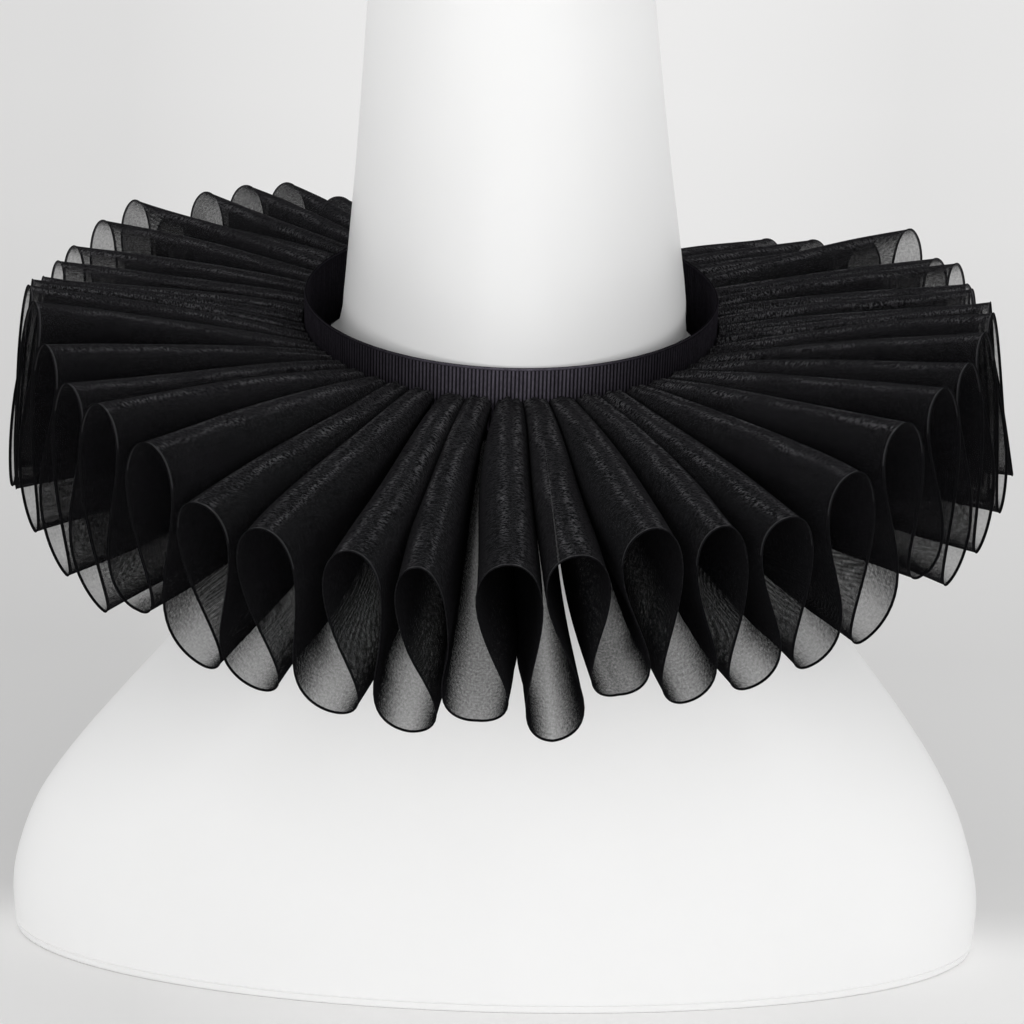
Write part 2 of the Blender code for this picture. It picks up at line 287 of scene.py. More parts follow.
def noise(tree, vector, scale, detail, stretch=None):
    """Fractal noise from 0 to 1, drawn out along the axes by the stretch."""
    if stretch is not None:
        mapping = tree.nodes.new("ShaderNodeMapping")
        mapping.inputs["Scale"].default_value = stretch
        tree.links.new(vector, mapping.inputs["Vector"])
        vector = mapping.outputs["Vector"]
    node = tree.nodes.new("ShaderNodeTexNoise")
    node.inputs["Scale"].default_value = scale
    node.inputs["Detail"].default_value = detail
    tree.links.new(vector, node.inputs["Vector"])
    return node.outputs["Fac"]


def ramp(tree, factor, stops):
    """A colour ramp through stops of (position, colour)."""
    node = tree.nodes.new("ShaderNodeValToRGB")
    elements = node.color_ramp.elements
    elements[0].position, elements[0].color = stops[0][0], (*stops[0][1], 1.0)
    elements[1].position, elements[1].color = stops[1][0], (*stops[1][1], 1.0)
    for position, colour in stops[2:]:
        elements.new(position).color = (*colour, 1.0)
    tree.links.new(factor, node.inputs["Fac"])
    return node.outputs["Color"]


def bump(tree, shader, height, depth_mm, strength):
    """Wires a height into the shader's normal."""
    node = tree.nodes.new("ShaderNodeBump")
    node.inputs["Strength"].default_value = strength
    node.inputs["Distance"].default_value = depth_mm * MM
    tree.links.new(height, node.inputs["Height"])
    tree.links.new(node.outputs["Normal"], shader.inputs["Normal"])


# %% Floor
FLOOR_HALF = 14000.0
FLOOR_RAMP_START = -200.0
FLOOR_RAMP_LENGTH = 4000.0
FLOOR_WARMTH = (1.0, 0.995, 0.99)
# Painted shade: these greys darken the floor behind the form and lighten it again further off, as
# light falls off towards a studio wall.
PaintedFloorShade = namedtuple("PaintedFloorShade", "distance grey")
FLOOR_PAINTED_SHADE_TONES = (
    PaintedFloorShade(-200.0, 0.93),
    PaintedFloorShade(3700.0, 0.88),
    PaintedFloorShade(-5.0, 0.94),
    PaintedFloorShade(12.0, 0.86),
    PaintedFloorShade(30.0, 0.77),
    PaintedFloorShade(80.0, 0.74),
    PaintedFloorShade(330.0, 0.68),
    PaintedFloorShade(600.0, 0.71),
    PaintedFloorShade(850.0, 0.74),
    PaintedFloorShade(1500.0, 0.82),
    PaintedFloorShade(2300.0, 0.86),
)
NEAREST_FLOOR = 900.0
PAINTED_GLOW = 0.13
PAINTED_GLOW_HALF_SLOPE = 0.13
PAINTED_RIGHT_LIGHT = 0.10
PICTURE_HALF_SLOPE = 0.17

floor_corners = [
    (-FLOOR_HALF, -FLOOR_HALF, 0.0),
    (FLOOR_HALF, -FLOOR_HALF, 0.0),
    (FLOOR_HALF, FLOOR_HALF, 0.0),
    (-FLOOR_HALF, FLOOR_HALF, 0.0),
]
floor = mesh_piece("floor", floor_corners, [(0, 1, 2, 3)])
floor_painted_light_and_shade, tree, shader = new_material("floor painted light and shade", Roughness=0.85)
floor_axes = axes_of(tree, object_place(tree))
distance = math_node(tree, "SUBTRACT", floor_axes["Y"], FLOOR_RAMP_START * MM)
share = math_node(tree, "DIVIDE", distance, FLOOR_RAMP_LENGTH * MM, clamp=True)
floor_stops = [
    (
        (tone.distance - FLOOR_RAMP_START) / FLOOR_RAMP_LENGTH,
        tuple(tone.grey * warmth for warmth in FLOOR_WARMTH),
    )
    for tone in FLOOR_PAINTED_SHADE_TONES
]
painted_floor_shade = ramp(tree, share, floor_stops)
# Painted light: a glow that fades to the sides of the camera's line, and a lighter right side.
far_off = math_node(tree, "ADD", floor_axes["Y"], -CAMERA_PLACE[1] * MM)
far_off = math_node(tree, "MAXIMUM", far_off, NEAREST_FLOOR * MM)
slope = math_node(tree, "DIVIDE", floor_axes["X"], far_off)
painted_glow_way = math_node(tree, "DIVIDE", slope, PAINTED_GLOW_HALF_SLOPE)
painted_glow = math_node(tree, "SUBTRACT", 1.0, math_node(tree, "MULTIPLY", painted_glow_way, painted_glow_way), clamp=True)
to_right = math_node(tree, "MULTIPLY_ADD", slope, 0.5 / PICTURE_HALF_SLOPE, 0.5, clamp=True)
painted_light_lift = math_node(tree, "MULTIPLY_ADD", painted_glow, PAINTED_GLOW, 1.0 - PAINTED_RIGHT_LIGHT / 2.0)
painted_light_lift = math_node(tree, "MULTIPLY_ADD", to_right, PAINTED_RIGHT_LIGHT, painted_light_lift)
tree.links.new(scaled(tree, painted_floor_shade, painted_light_lift), shader.inputs["Base Color"])
floor.data.materials.append(floor_painted_light_and_shade)
print("floor half size in m:", FLOOR_HALF * MM)

# %% [markdown]
# ## The display form
#
# The form is a smooth shell: flat sides at the base, round shoulders, and a
# neck that leans forward. One table row describes one level section, as half
# ellipses to the front and to the back. A smooth curve through each column of
# the table gives as many sections as the light needs to run without a break.

# %% Sections of the form
Section = namedtuple("Section", "height half_width front back across middle lean")
FORM_SECTIONS = (
    Section(0.0, 166.5, 67.0, 62.0, 0.0, 0.0, 0.0),
    Section(2.5, 168.2, 68.7, 64.0, 0.0, 0.0, 0.0),
    Section(22.0, 168.6, 69.0, 65.0, 0.0, 0.0, 0.0),
    Section(46.0, 161.5, 69.2, 65.5, 0.5, 0.0, 0.0),
    Section(65.0, 150.8, 69.4, 66.0, 2.0, 0.0, 0.0),
    Section(85.0, 136.0, 69.6, 66.3, 3.5, 0.0, 0.4),
    Section(106.0, 118.8, 69.7, 66.0, 4.5, 0.3, 1.2),
    Section(128.0, 101.0, 69.7, 67.0, 4.5, 0.8, 2.6),
    Section(150.0, 87.0, 69.5, 67.8, 3.8, 1.6, 4.5),
    Section(172.0, 77.0, 68.8, 68.2, 2.5, 2.6, 6.7),
    Section(190.0, 71.0, 68.2, 68.2, 1.0, 3.5, 8.7),
    Section(205.3, 67.5, 67.5, 67.5, 0.0, 4.2, 9.7),
    Section(214.2, 59.6, 67.3, 55.0, 0.4, 2.7, 9.7),
    Section(222.1, 57.5, 67.2, 50.4, 0.9, 1.3, 9.7),
    Section(230.0, 56.9, 67.0, 48.8, 1.1, 0.0, 9.7),
    Section(250.0, 54.6, 65.4, 47.0, 0.5, -2.6, 9.2),
    Section(275.0, 51.6, 62.8, 45.0, -0.5, -5.0, 8.2),
    Section(300.0, 49.0, 60.4, 43.2, -1.5, -7.2, 7.0),
    Section(328.0, 46.3, 57.8, 41.4, -2.5, -9.4, 5.5),
    Section(341.0, 45.2, 56.8, 40.6, -2.7, -10.2, 5.0),
    Section(344.2, 43.2, 54.6, 38.6, -2.7, -10.4, 5.0),
)
FORM_COLUMNS = 160
FORM_RINGS_PER_SECTION = 6
FORM_SMOOTH_FROM = 2
FORM_SMOOTH_TO = 19


def form_ring(section):
    """One section of the form: two half ellipses that share the same width."""
    angle = np.linspace(0.0, 2.0 * np.pi, FORM_COLUMNS, endpoint=False)
    lean = math.radians(section.lean)
    depth = np.where(np.sin(angle) < 0.0, section.front, section.back)
    x = section.across + section.half_width * np.cos(angle)
    out = depth * np.sin(angle)
    y = section.middle + out * math.cos(lean)
    z = section.height + out * math.sin(lean)
    return np.stack([x, y, z], axis=-1)


def between_sections(index, t):
    """A section between two rows of the table, on a smooth curve through each column."""
    table = np.array(FORM_SECTIONS)
    before, start, end = table[index - 1], table[index], table[index + 1]
    after = table[min(index + 2, len(table) - 1)]
    span = end[0] - start[0]
    slope_start = (end - before) / (end[0] - before[0]) * span
    slope_end = (after - start) / (after[0] - start[0]) * span
    blend = 3.0 * t**2 - 2.0 * t**3
    row = (
        start + (end - start) * blend
        + slope_start * (t - 2.0 * t**2 + t**3)
        + slope_end * (t**3 - t**2)
    )
    return Section(*row)


# %% [markdown]
# The real form has a separate base plate, seen as a thin line just above the
# floor. A narrow groove cut into the shell gives that line. The top edge is
# rounded and closed, because the picture ends before it.

# %% Build the form
FOOT_STEPS = 6
GROOVE_HEIGHT = 3.4
GROOVE_HALF = 0.35
GROOVE_FLOOR_HALF = 0.1
GROOVE_DEPTH = 0.45
SIDE_STATIONS = (0.35, 0.6, 0.8)
TOP_STEPS = 5
SHARP_FROM = 40.0

foot, edge = FORM_SECTIONS[0], FORM_SECTIONS[1]
sections = []
for index in range(FOOT_STEPS + 1):
    quarter = math.radians(90.0 * index / FOOT_STEPS)
    sections.append(Section(
        edge.height * (1.0 - math.cos(quarter)),
        foot.half_width + (edge.half_width - foot.half_width) * math.sin(quarter),
        foot.front + (edge.front - foot.front) * math.sin(quarter),
        foot.back + (edge.back - foot.back) * math.sin(quarter),
        0.0, 0.0, 0.0,
    ))
side = between_sections(1, GROOVE_HEIGHT / FORM_SECTIONS[2].height)
groove_profile = (
    (-GROOVE_HALF, 0.0),
    (-GROOVE_FLOOR_HALF, GROOVE_DEPTH),
    (GROOVE_FLOOR_HALF, GROOVE_DEPTH),
    (GROOVE_HALF, 0.0),
)
for offset, depth in groove_profile:
    sections.append(side._replace(
        height=GROOVE_HEIGHT + offset,
        half_width=side.half_width - depth,
        front=side.front - depth,
        back=side.back - depth,
    ))
for t in SIDE_STATIONS:
    sections.append(between_sections(1, t))
for index in range(FORM_SMOOTH_FROM, FORM_SMOOTH_TO):
    for part in range(FORM_RINGS_PER_SECTION):
        sections.append(between_sections(index, part / FORM_RINGS_PER_SECTION))
shoulder, cap = FORM_SECTIONS[-2], FORM_SECTIONS[-1]
for step in range(TOP_STEPS + 1):
    quarter = math.radians(90.0 * step / TOP_STEPS)
    drop = 1.0 - math.cos(quarter)
    sections.append(shoulder._replace(
        height=shoulder.height + (cap.height - shoulder.height) * math.sin(quarter),
        half_width=shoulder.half_width - (shoulder.half_width - cap.half_width) * drop,
        front=shoulder.front - (shoulder.front - cap.front) * drop,
        back=shoulder.back - (shoulder.back - cap.back) * drop,
    ))
form_points = np.concatenate([form_ring(section) for section in sections])
form_faces = grid_faces(len(sections), FORM_COLUMNS, wrap=True)
form_faces.insert(0, tuple(reversed(range(FORM_COLUMNS))))
top_start = (len(sections) - 1) * FORM_COLUMNS
form_faces.append(tuple(range(top_start, top_start + FORM_COLUMNS)))
form = mesh_piece("display_form_shell", form_points, form_faces)
form.data.set_sharp_from_angle(angle=math.radians(SHARP_FROM))
print("form:", len(sections), "sections,", triangles(form), "triangles")

# %% [markdown]
# ### Satin white shell
#
# The shell is a hard white plastic with a soft shine. Nothing real is one flat
# colour: very faint clouds change the white, fine grain breaks the shine, and a
# few short scuffs catch the light.

# %% Shell material
CLOUD_SCALE = 9.0
GRAIN_SCALE = 900.0
SCUFF_SCALE = 30.0
SCUFF_STRETCH = (1.0, 1.0, 5.0)
SCUFF_FROM = 0.72
SHELL_ROUGHNESS = 0.29
GRAIN_ROUGHNESS = 0.08
SCUFF_ROUGHNESS = 0.12

shell_white, tree, shader = new_material(
    "shell white", Roughness=0.34, Coat_Weight=0.15, Coat_Roughness=0.25
)
place = object_place(tree)
clouds = noise(tree, place, CLOUD_SCALE, detail=3.0)
shell_stops = ((0.3, (0.845, 0.845, 0.842)), (0.7, (0.875, 0.875, 0.874)))
tree.links.new(ramp(tree, clouds, shell_stops), shader.inputs["Base Color"])
grain = noise(tree, place, GRAIN_SCALE, detail=2.0)
scuffs = noise(tree, place, SCUFF_SCALE, detail=4.0, stretch=SCUFF_STRETCH)
scuff_lift = math_node(tree, "GREATER_THAN", scuffs, SCUFF_FROM)
plain = math_node(tree, "MULTIPLY_ADD", grain, GRAIN_ROUGHNESS, SHELL_ROUGHNESS)
roughness = math_node(tree, "MULTIPLY_ADD", scuff_lift, SCUFF_ROUGHNESS, plain)
tree.links.new(roughness, shader.inputs["Roughness"])
bump(tree, shader, grain, depth_mm=0.02, strength=0.25)
form.data.materials.append(shell_white)
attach(form, "root")
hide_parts("display_form")

# %% [markdown]
# ## The neckband
#
# The neckband is grosgrain: a ribbon whose thick cross threads stand up as
# ribs, with a narrow plain edge above and below. Its core is a thin upright
# wall round the collar's axis. Everything on the collar is placed round that
# axis, which leans forward, by one function.

# %% The collar's axis
RING_CENTRE = (0.0, 0.0, 230.0)
RING_LEAN = 9.7
BAND_MIDDLE = 68.5
BAND_HEIGHT = 25.0
BAND_END_TURN = 178.9


def ring_point(turn, radius, level):
    """A point given round, out from and along the collar's axis, as an array of X, Y, Z."""
    angle = np.radians(turn)
    lean = math.radians(RING_LEAN)
    across = radius * np.sin(angle)
    ahead = -radius * np.cos(angle)
    x = across + RING_CENTRE[0]
    y = ahead * math.cos(lean) - level * math.sin(lean) + RING_CENTRE[1]
    z = ahead * math.sin(lean) + level * math.cos(lean) + RING_CENTRE[2]
    return np.stack(np.broadcast_arrays(x, y, z), axis=-1)


def wall(name, turns, levels, inner, outer, uv_height):
    """A closed upright wall between two radii, with a map along and up its ribbon in metres."""
    turn, level = np.meshgrid(turns, levels)
    sides = [ring_point(turn, radius, level).reshape(-1, 3) for radius in (outer, inner)]
    along = np.radians(turn) * BAND_MIDDLE * MM
    cloth = np.stack([along, (level + uv_height) * MM], axis=-1).reshape(-1, 2)
    rows, columns = len(levels), len(turns)
    front = grid_faces(rows, columns)
    shift = rows * columns
    faces = [tuple(reversed(face)) for face in front]
    faces += [tuple(index + shift for index in face) for face in front]
    for column in range(columns - 1):
        low, top = column, (rows - 1) * columns + column
        faces.append((low, low + 1, low + 1 + shift, low + shift))
        faces.append((top + 1, top, top + shift, top + 1 + shift))
    for row in range(rows - 1):
        start, end = row * columns, (row + 1) * columns
        faces.append((end, start, start + shift, end + shift))
        start, end = start + columns - 1, end + columns - 1
        faces.append((start, end, end + shift, start + shift))
    return mesh_piece(name, np.concatenate(sides), faces, np.concatenate([cloth, cloth]))


# %% Core of the neckband
CORE_HALF = 0.15
CORE_COLUMNS = 240
CORE_LEVELS = 6

core_turns = np.linspace(-BAND_END_TURN, BAND_END_TURN, CORE_COLUMNS + 1)
core_levels = np.linspace(0.0, -BAND_HEIGHT, CORE_LEVELS)
band = wall(
    "neckband_ribbon",
    core_turns,
    core_levels,
    BAND_MIDDLE - CORE_HALF,
    BAND_MIDDLE + CORE_HALF,
    BAND_HEIGHT,
)
print("neckband length in mm:", round(math.radians(2.0 * BAND_END_TURN) * BAND_MIDDLE, 1))

# %% [markdown]
# ### Ribs by Geometry Nodes
#
# There are over three hundred ribs, all alike and evenly spaced, so a geometry
# tree makes them. An arc of points stands for the ribbon's length. A short
# bevelled bar is put on every point and turned to face outward. The whole ring
# is then leaned like the collar. Realize Instances turns the copies into mesh.

# %% Tree that stands bars round an arc
RIB_PITCH = 1.24
RIB_WIDTH = 0.78
RIB_THICKNESS = 1.0
RIB_MARGIN = 0.9
RIB_SIDES = 10


def place_on_ring(tree, geometry, lean, centre):
    """Leans the geometry forward about X and moves it to the collar's centre."""
    turned = add_node(tree, "GeometryNodeTransform")
    tree.links.new(geometry, turned.inputs["Geometry"])
    rotation = tree.nodes.new("ShaderNodeCombineXYZ")
    tree.links.new(lean, rotation.inputs["X"])
    tree.links.new(rotation.outputs["Vector"], turned.inputs["Rotation"])
    tree.links.new(centre, turned.inputs["Translation"])
    return turned.outputs["Geometry"]


rib_count = int(round(math.radians(2.0 * BAND_END_TURN) * BAND_MIDDLE / RIB_PITCH))
rib_size = (RIB_THICKNESS * MM, RIB_WIDTH * MM, (BAND_HEIGHT - 2.0 * RIB_MARGIN) * MM)
rib_inputs = (
    ("Resolution", "NodeSocketInt", rib_count),
    ("Radius", "NodeSocketFloat", BAND_MIDDLE * MM),
    ("Start Angle", "NodeSocketFloat", math.radians(-90.0 - BAND_END_TURN)),
    ("Sweep Angle", "NodeSocketFloat", math.radians(2.0 * BAND_END_TURN)),
    ("Rib size", "NodeSocketVector", rib_size),
    ("Drop", "NodeSocketVector", (0.0, 0.0, -BAND_HEIGHT / 2.0 * MM)),
    ("Lean", "NodeSocketFloat", math.radians(RING_LEAN)),
    ("Centre", "NodeSocketVector", tuple(v * MM for v in RING_CENTRE)),
)
rib_tree = node_tree("ribs on a ring", rib_inputs)
group_in = rib_tree.nodes.new("NodeGroupInput")
arc = add_node(rib_tree, "GeometryNodeCurveArc", {"mode": "RADIUS"})
for label in ("Resolution", "Radius", "Start Angle", "Sweep Angle"):
    rib_tree.links.new(group_in.outputs[label], arc.inputs[label])
dropped = add_node(rib_tree, "GeometryNodeTransform")
rib_tree.links.new(arc.outputs["Curve"], dropped.inputs["Geometry"])
rib_tree.links.new(group_in.outputs["Drop"], dropped.inputs["Translation"])
points = add_node(rib_tree, "GeometryNodeCurveToPoints", {"mode": "EVALUATED"})
rib_tree.links.new(dropped.outputs["Geometry"], points.inputs["Curve"])
bar = add_node(
    rib_tree, "GeometryNodeMeshCylinder", {"fill_type": "NGON"},
    Vertices=RIB_SIDES, Radius=0.5, Depth=1.0,
)
copies = rib_tree.nodes.new("GeometryNodeInstanceOnPoints")
facing = add_node(rib_tree, "FunctionNodeAlignRotationToVector", {"axis": "X", "pivot_axis": "Z"})
position = rib_tree.nodes.new("GeometryNodeInputPosition")
rib_tree.links.new(position.outputs["Position"], facing.inputs["Vector"])
rib_tree.links.new(points.outputs["Points"], copies.inputs["Points"])
rib_tree.links.new(bar.outputs["Mesh"], copies.inputs["Instance"])
rib_tree.links.new(facing.outputs["Rotation"], copies.inputs["Rotation"])
rib_tree.links.new(group_in.outputs["Rib size"], copies.inputs["Scale"])
rib_ring = place_on_ring(
    rib_tree, copies.outputs["Instances"], group_in.outputs["Lean"], group_in.outputs["Centre"]
)
finish_tree(rib_tree, rib_ring, group_in)

# %% [markdown]
# ### Grosgrain finish
#
# The yarn is a charcoal that leans a little to violet, with a dull shine. Fine
# yarn lines run along each rib, and some ribs take the light more than others.
# The ground between the ribs is the same yarn with painted shade, so it is darker.

# %% Grosgrain material
RIB_YARN = ((0.30, (0.058, 0.052, 0.067)), (0.68, (0.116, 0.106, 0.132)))
# Painted shade: the ground between the ribs gets a darker copy of the rib yarn.
GROUND_YARN_PAINTED_SHADE = ((0.30, (0.012, 0.011, 0.013)), (0.68, (0.024, 0.022, 0.027)))
RIB_TONE_SCALE = 420.0
RIB_TONE_STRETCH = (1.0, 1.0, 0.12)
YARN_SCALE = 2600.0
YARN_STRETCH = (1.0, 1.0, 0.3)
YARN_SHARE = 0.6
TURNED_AWAY_PAINTED_SHADE = 0.15
FRONT_POWER = 9.0


def grosgrain_finish(name, stops):
    """Matt yarn between two tones, with painted light where the band faces the front and painted
    shade where it turns away.
    """
    material, tree, shader = new_material(name, Roughness=0.8, Specular_IOR_Level=0.0)
    place = object_place(tree)
    rib_tone = noise(tree, place, RIB_TONE_SCALE, detail=1.0, stretch=RIB_TONE_STRETCH)
    rib_part = math_node(tree, "MULTIPLY", rib_tone, 1.0 - YARN_SHARE)
    yarn = noise(tree, place, YARN_SCALE, detail=1.0, stretch=YARN_STRETCH)
    tone = math_node(tree, "MULTIPLY_ADD", yarn, YARN_SHARE, rib_part)
    # Painted light and shade: the yarn is lighter where the band faces the front and darker where
    # it turns away.
    ahead = axes_of(tree, place)["Y"]
    to_front = math_node(tree, "DIVIDE", ahead, -BAND_MIDDLE * MM, clamp=True)
    front_share = math_node(tree, "POWER", to_front, FRONT_POWER)
    painted_front_light = math_node(tree, "MULTIPLY_ADD", front_share, 1.0 - TURNED_AWAY_PAINTED_SHADE, TURNED_AWAY_PAINTED_SHADE)
    painted_front_light_tone = scaled(tree, ramp(tree, tone, stops), painted_front_light)
    tree.links.new(painted_front_light_tone, shader.inputs["Base Color"])
    bump(tree, shader, yarn, depth_mm=0.05, strength=0.5)
    return material


grosgrain = grosgrain_finish("grosgrain", RIB_YARN)
grosgrain_painted_shade_ground = grosgrain_finish("grosgrain ground painted shade", GROUND_YARN_PAINTED_SHADE)

# %% Make the ribs and the edges
rib_seed = mesh_piece("neckband_ribs", [(0.0, 0.0, 0.0)], [])
ribs = run_tree(rib_seed, rib_tree, rib_inputs, grosgrain)
print("ribs:", rib_count, "with", triangles(ribs), "triangles")

EDGE_RADIUS = 0.48
EDGE_SIDES = 8

edge_levels = {
    "neckband_top_edge": -EDGE_RADIUS,
    "neckband_low_edge": EDGE_RADIUS - BAND_HEIGHT,
}
edge_pieces = []
for label, level in edge_levels.items():
    around = np.linspace(0.0, 2.0 * np.pi, EDGE_SIDES, endpoint=False)
    turn, bead = np.meshgrid(core_turns, around, indexing="ij")
    radius = BAND_MIDDLE + EDGE_RADIUS * np.cos(bead)
    tube = ring_point(turn, radius, level + EDGE_RADIUS * np.sin(bead))
    faces = grid_faces(len(core_turns), EDGE_SIDES, wrap=True)
    faces.append(tuple(reversed(range(EDGE_SIDES))))
    last = (len(core_turns) - 1) * EDGE_SIDES
    faces.append(tuple(range(last, last + EDGE_SIDES)))
    bead_piece = mesh_piece(label, tube.reshape(-1, 3), faces)
    bead_piece.data.materials.append(grosgrain)
    edge_pieces.append(bead_piece)

band.data.materials.append(grosgrain_painted_shade_ground)
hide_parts("neckband")
for piece in (band, ribs, *edge_pieces):
    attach(piece, "root")

# %% [markdown]
# ## The pleated ribbon
#
# This is the main piece. The ribbon runs back and forth between top folds and
# low folds, and each fold is a round loop because the cloth won't take a sharp
# crease. A short table gives each front fold: the turn and droop of its crests
# and their widths at the edge. Further back only the tops show, so a second
# table gives those, and each low loop lies midway between two of them.

# %% Folds of the ribbon
WAVES = 50
RIBBON_START = 69.7
RIBBON_END_TURN = 179.2
SEAM_LEVEL = -15.5
SEAM_RISE = 6.0

Reach = namedtuple("Reach", "turn top low")
REACHES = (
    Reach(0.0, 106.0, 106.0),
    Reach(45.0, 104.0, 104.0),
    Reach(70.0, 95.0, 104.0),
    Reach(90.0, 84.5, 103.0),
    Reach(105.0, 92.0, 102.0),
    Reach(125.0, 101.0, 98.0),
    Reach(150.0, 102.0, 99.0),
    Reach(180.0, 100.0, 99.0),
)

Fold = namedtuple("Fold", "top_turn top_droop top_width low_turn low_droop low_width")
FRONT_FOLDS = (
    Fold(-73.0, -15.0, 17.0, -72.0, 17.0, 17.0),
    Fold(-65.5, -16.0, 17.0, -65.5, 22.0, 17.0),
    Fold(-58.0, -12.0, 18.0, -59.0, 27.0, 17.0),
    Fold(-51.0, -9.0, 17.0, -51.5, 30.0, 17.0),
    Fold(-44.5, -9.0, 18.0, -42.0, 22.0, 18.0),
    Fold(-37.0, -6.0, 18.0, -34.5, 31.0, 19.0),
    Fold(-30.5, 1.5, 18.0, -27.5, 32.5, 19.0),
    Fold(-23.5, 3.0, 18.0, -18.5, 34.0, 19.0),
    Fold(-14.5, 4.0, 17.0, -10.0, 36.5, 18.0),
    Fold(-8.0, 5.5, 13.0, -2.5, 30.5, 19.0),
    Fold(0.5, 4.0, 19.0, 6.0, 37.5, 17.0),
    Fold(7.0, 2.5, 18.0, 12.0, 24.0, 17.0),
    Fold(14.0, -1.5, 17.5, 19.5, 28.5, 17.0),
    Fold(21.0, -0.5, 15.0, 27.0, 28.0, 17.0),
    Fold(28.0, 0.0, 17.0, 34.5, 26.5, 17.0),
    Fold(35.5, -5.0, 17.0, 42.0, 25.0, 17.0),
    Fold(42.5, -10.5, 17.0, 48.5, 14.0, 17.0),
    Fold(50.0, -13.0, 17.0, 57.0, 22.0, 17.0),
    Fold(57.0, -14.0, 17.0, 65.0, 20.5, 17.0),
    Fold(64.0, -16.0, 17.0, 72.0, 17.0, 17.0),
    Fold(71.0, -16.0, 17.0, 78.5, 14.0, 17.0),
)
FIRST_FRONT_FOLD = -10

BackFold = namedtuple("BackFold", "step turn droop width")
BACK_FOLDS = (
    BackFold(-26, -187.5, 9.0, 16.5),
    BackFold(-25, -180.0, 8.5, 16.5),
    BackFold(-24, -172.4, 9.5, 16.5),
    BackFold(-23, -164.4, 8.5, 16.5),
    BackFold(-22, -156.6, 7.0, 16.5),
    BackFold(-21, -149.6, 2.5, 15.5),
    BackFold(-20, -143.6, 1.5, 15.0),
    BackFold(-19, -137.5, 1.0, 15.0),
    BackFold(-18, -131.6, 4.0, 14.5),
    BackFold(-17, -125.7, -2.0, 15.0),
    BackFold(-16, -118.0, -1.5, 16.0),
    BackFold(-15, -109.0, -1.0, 16.5),
    BackFold(-14, -101.3, -2.5, 16.5),
    BackFold(-13, -93.3, -3.5, 16.5),
    BackFold(-12, -86.4, -9.0, 16.5),
    BackFold(-11, -79.5, -12.5, 16.5),
    BackFold(11, 79.3, -13.5, 16.5),
    BackFold(12, 86.4, -8.5, 16.5),
    BackFold(13, 93.3, -7.5, 16.5),
    BackFold(14, 100.5, -3.5, 16.5),
    BackFold(15, 107.0, -4.0, 16.0),
    BackFold(16, 114.0, -0.5, 16.0),
    BackFold(17, 121.8, -2.5, 16.5),
    BackFold(18, 129.8, 4.5, 16.5),
    BackFold(19, 138.2, 8.0, 16.5),
    BackFold(20, 145.2, 10.5, 16.0),
    BackFold(21, 151.8, 15.0, 16.0),
    BackFold(22, 158.5, 18.0, 16.5),
    BackFold(23, 165.5, 18.5, 16.5),
    BackFold(24, 172.6, 17.0, 16.5),
    BackFold(25, 180.0, 18.5, 16.5),
    BackFold(26, 187.5, 18.0, 16.5),
)
BACK_OPENING = 34.0
DROOP_STRAY = 1.4
DROOP_STRAY_RATE = 2.3


def crest_rows():
    """Step, turn, droop and width of every crest round the collar, tops and lows in turn."""
    rows = [tuple(fold) for fold in BACK_FOLDS]
    for index, fold in enumerate(FRONT_FOLDS):
        step = FIRST_FRONT_FOLD + index
        rows.append((step, fold.top_turn, fold.top_droop, fold.top_width))
    tops = np.array(sorted(rows))
    for index, fold in enumerate(FRONT_FOLDS):
        step = FIRST_FRONT_FOLD + index + 0.5
        rows.append((step, fold.low_turn, fold.low_droop, fold.low_width))
    shown = {row[0] for row in rows}
    for step in tops[:-1, 0] + 0.5:
        if step not in shown:
            turn, droop, width = (np.interp(step, tops[:, 0], column) for column in tops.T[1:])
            droop += BACK_OPENING + DROOP_STRAY * math.sin(DROOP_STRAY_RATE * step)
            rows.append((step, turn, droop, width))
    return np.array(sorted(rows))


CRESTS = crest_rows()
TOPS = CRESTS[CRESTS[:, 0] == np.round(CRESTS[:, 0])]
LOWS = CRESTS[CRESTS[:, 0] != np.round(CRESTS[:, 0])]
print("top folds:", WAVES, "of which the table gives", len(FRONT_FOLDS))

# %% [markdown]
# ### The rule of one fold
#
# Going round, a point follows a cosine from top crest to low crest, while a
# sine with twice the pace swings it from side to side, which draws the figure
# eight. Away from the free edge the loops swell until they touch the loops
# beside them, and never go through them: half the gap to the next crest of the
# same kind, less a little, is the most that a loop may take. Between seam and
# edge the top loops arch up a little and the low loops sag.

# %% The ribbon's surface
SEAM_HALF = 4.3
SWELL = 2.2
PRESS = 4.0
PRESS_END = 0.85
PRESS_FADE = 0.3
SOFT_TOUCH = 0.2
LOOP_GAP = 0.03
EDGE_GAP = 0.4
TOP_BOW = 4.5
LOW_BOW = 41.0
BOW_LEAD = 1.6
NARROWEST_HALF = 0.6
BLEND_FROM = 0.35
BLEND_WIDTH = 0.3

Stray = namedtuple("Stray", "size rate turn")
WANDER = (Stray(1.5, 2.6, 1.5), Stray(0.9, 1.1, -4.0))


def wander(step, along):
    """How far in mm a fold strays to its side between the seam and the edge."""
    drift = sum(stray.size * np.sin(stray.rate * step + stray.turn * along) for stray in WANDER)
    return 4.0 * along * (1.0 - along) * drift


def between_crests(start_step, end_step, along, radius):
    """The way in mm round the collar from one crest to another."""
    turns = np.interp([start_step, end_step], CRESTS[:, 0], CRESTS[:, 1])
    way = np.radians(turns[1] - turns[0]) * radius
    return way + wander(end_step, along) - wander(start_step, along)


